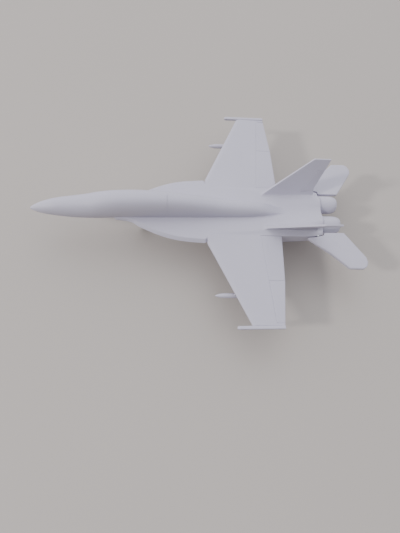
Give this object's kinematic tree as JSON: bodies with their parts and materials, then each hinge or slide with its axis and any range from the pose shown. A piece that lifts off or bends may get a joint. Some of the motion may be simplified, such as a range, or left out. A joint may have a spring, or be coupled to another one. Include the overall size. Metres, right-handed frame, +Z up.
{
  "type": "rc warbird plane",
  "caption": "Twin-fin radio-controlled jet fighter model with ducted fans, moving control surfaces, battery hatch and wheeled landing gear.",
  "frame": {"origin": "on the centre line, midway along the length, at the height where the wheels touch the ground", "axes": "+X aft (the nose points to -X), +Y to starboard (the aircraft's own right side seen from above with the nose towards -X), +Z up"},
  "size_m": [0.5976, 0.4356, 0.1425],
  "materials": {
    "white_shell": "smooth moulded, satin",
    "grey_plastic": "satin",
    "black_plastic": "satin",
    "blue_case": "satin",
    "spar": "carbon fibre tube",
    "motor_case": "turned",
    "steel_wire": "drawn wire",
    "tyre": "matt",
    "tray": "thin plywood"
  },
  "bodies": {
    "airframe": {"battery": "blue_case", "battery_tray": "tray", "center_fuselage": "white_shell", "dorsal_spine": "white_shell", "forward_fuselage": "white_shell", "left_aileron_servo": "blue_case", "left_fan_housing": "grey_plastic", "left_fan_motor": "motor_case", "left_fin": "white_shell", "left_gear_leg": "steel_wire", "left_hinge_wire": "steel_wire", "left_pylon": "white_shell", "left_rudder_pin": "steel_wire", "left_store": "white_shell", "left_strake": "white_shell", "left_tail_servo": "blue_case", "left_thrust_tube": "white_shell", "left_tip_rail": "white_shell", "left_wing": "white_shell", "nose_cone": "white_shell", "rear_fuselage": "white_shell", "receiver": "black_plastic", "right_aileron_servo": "blue_case", "right_fan_housing": "grey_plastic", "right_fan_motor": "motor_case", "right_fin": "white_shell", "right_gear_leg": "steel_wire", "right_hinge_wire": "steel_wire", "right_pylon": "white_shell", "right_rudder_pin": "steel_wire", "right_store": "white_shell", "right_strake": "white_shell", "right_tail_servo": "blue_case", "right_thrust_tube": "white_shell", "right_tip_rail": "white_shell", "right_wing": "white_shell", "speed_controller": "black_plastic", "wing_spar": "spar"},
    "hatch": {"canopy_hatch": "white_shell"},
    "left_aileron_body": {"left_aileron": "white_shell"},
    "right_aileron_body": {"right_aileron": "white_shell"},
    "left_flap_body": {"left_flap": "white_shell"},
    "right_flap_body": {"right_flap": "white_shell"},
    "left_rudder_body": {"left_rudder": "white_shell"},
    "right_rudder_body": {"right_rudder": "white_shell"},
    "left_stabilator_body": {"left_stabilator": "white_shell", "left_stab_shaft": "steel_wire"},
    "right_stabilator_body": {"right_stabilator": "white_shell", "right_stab_shaft": "steel_wire"},
    "left_arm_body": {"left_servo_arm": "white_shell"},
    "right_arm_body": {"right_servo_arm": "white_shell"},
    "left_pushrod_body": {"left_pushrod": "steel_wire"},
    "right_pushrod_body": {"right_pushrod": "steel_wire"},
    "left_rotor": {"left_fan_rotor": "black_plastic"},
    "right_rotor": {"right_fan_rotor": "black_plastic"},
    "nose_strut": {"nose_gear_strut": "steel_wire"},
    "nose_wheel_body": {"nose_wheel": "tyre"},
    "left_wheel": {"left_main_wheel": "tyre"},
    "right_wheel": {"right_main_wheel": "tyre"}
  },
  "joints": [
    {"name": "hatch_hinge", "type": "hinge", "parent": "airframe", "child": "hatch", "pos_m": [-0.061, 0, 0.1146], "axis": [0, 1, 0], "range_deg": [0, 60]},
    {"name": "left_aileron_hinge", "type": "hinge", "parent": "airframe", "child": "left_aileron_body", "pos_m": [0.11453, -0.1716, 0.07], "axis": [-0.0827, 0.9966, 0], "range_deg": [-20, 20]},
    {"name": "left_flap_hinge", "type": "hinge", "parent": "airframe", "child": "left_flap_body", "pos_m": [0.108, -0.093, 0.07], "axis": [-0.0827, 0.9966, 0], "range_deg": [0, 25]},
    {"name": "left_rudder_hinge", "type": "hinge", "parent": "airframe", "child": "left_rudder_body", "pos_m": [0.19484, -0.04729, 0.10232], "axis": [0.4222, -0.3687, 0.8281], "range_deg": [-20, 20]},
    {"name": "left_stabilator_pivot", "type": "hinge", "parent": "airframe", "child": "left_stabilator_body", "pos_m": [0.212, -0.06, 0.065], "axis": [0, 1, 0], "range_deg": [-15, 15]},
    {"name": "left_servo_arm_pivot", "type": "hinge", "parent": "airframe", "child": "left_arm_body", "pos_m": [0.087, -0.167, 0.0678], "axis": [0, 1, 0], "range_deg": [-20, 20]},
    {"name": "left_pushrod_pivot", "type": "hinge", "parent": "left_arm_body", "child": "left_pushrod_body", "pos_m": [0.087, -0.167, 0.0608], "axis": [0, 1, 0], "range_deg": [-20, 20]},
    {"name": "left_fan_spin", "type": "hinge", "parent": "airframe", "child": "left_rotor", "pos_m": [0.097, -0.023, 0.053], "axis": [1, 0, 0], "continuous": true},
    {"name": "left_wheel_spin", "type": "hinge", "parent": "airframe", "child": "left_wheel", "pos_m": [0.092, -0.054, 0.013], "axis": [0, 1, 0], "continuous": true},
    {"name": "right_aileron_hinge", "type": "hinge", "parent": "airframe", "child": "right_aileron_body", "pos_m": [0.11453, 0.1716, 0.07], "axis": [0.0827, 0.9966, 0], "range_deg": [-20, 20]},
    {"name": "right_flap_hinge", "type": "hinge", "parent": "airframe", "child": "right_flap_body", "pos_m": [0.108, 0.093, 0.07], "axis": [0.0827, 0.9966, 0], "range_deg": [0, 25]},
    {"name": "right_rudder_hinge", "type": "hinge", "parent": "airframe", "child": "right_rudder_body", "pos_m": [0.19484, 0.04729, 0.10232], "axis": [0.4222, 0.3687, 0.8281], "range_deg": [-20, 20]},
    {"name": "right_stabilator_pivot", "type": "hinge", "parent": "airframe", "child": "right_stabilator_body", "pos_m": [0.212, 0.06, 0.065], "axis": [0, 1, 0], "range_deg": [-15, 15]},
    {"name": "right_servo_arm_pivot", "type": "hinge", "parent": "airframe", "child": "right_arm_body", "pos_m": [0.087, 0.167, 0.0678], "axis": [0, 1, 0], "range_deg": [-20, 20]},
    {"name": "right_pushrod_pivot", "type": "hinge", "parent": "right_arm_body", "child": "right_pushrod_body", "pos_m": [0.087, 0.167, 0.0608], "axis": [0, 1, 0], "range_deg": [-20, 20]},
    {"name": "right_fan_spin", "type": "hinge", "parent": "airframe", "child": "right_rotor", "pos_m": [0.097, 0.023, 0.053], "axis": [1, 0, 0], "continuous": true},
    {"name": "right_wheel_spin", "type": "hinge", "parent": "airframe", "child": "right_wheel", "pos_m": [0.092, 0.054, 0.013], "axis": [0, 1, 0], "continuous": true},
    {"name": "nose_steer", "type": "hinge", "parent": "airframe", "child": "nose_strut", "pos_m": [-0.106, 0, 0.04], "axis": [0, 0, 1], "range_deg": [-20, 20]},
    {"name": "nose_wheel_spin", "type": "hinge", "parent": "nose_strut", "child": "nose_wheel_body", "pos_m": [-0.103, 0, 0.011], "axis": [0, 1, 0], "continuous": true}
  ],
  "couplings": [
    {"joint": "right_aileron_hinge", "follows": "left_aileron_hinge", "ratio": -1},
    {"joint": "left_servo_arm_pivot", "follows": "left_aileron_hinge", "ratio": 1},
    {"joint": "left_pushrod_pivot", "follows": "left_aileron_hinge", "ratio": -1},
    {"joint": "right_servo_arm_pivot", "follows": "left_aileron_hinge", "ratio": -1},
    {"joint": "right_pushrod_pivot", "follows": "left_aileron_hinge", "ratio": 1},
    {"joint": "right_flap_hinge", "follows": "left_flap_hinge", "ratio": 1},
    {"joint": "right_stabilator_pivot", "follows": "left_stabilator_pivot", "ratio": 1},
    {"joint": "right_rudder_hinge", "follows": "left_rudder_hinge", "ratio": 1},
    {"joint": "nose_steer", "follows": "left_rudder_hinge", "ratio": -1}
  ]
}
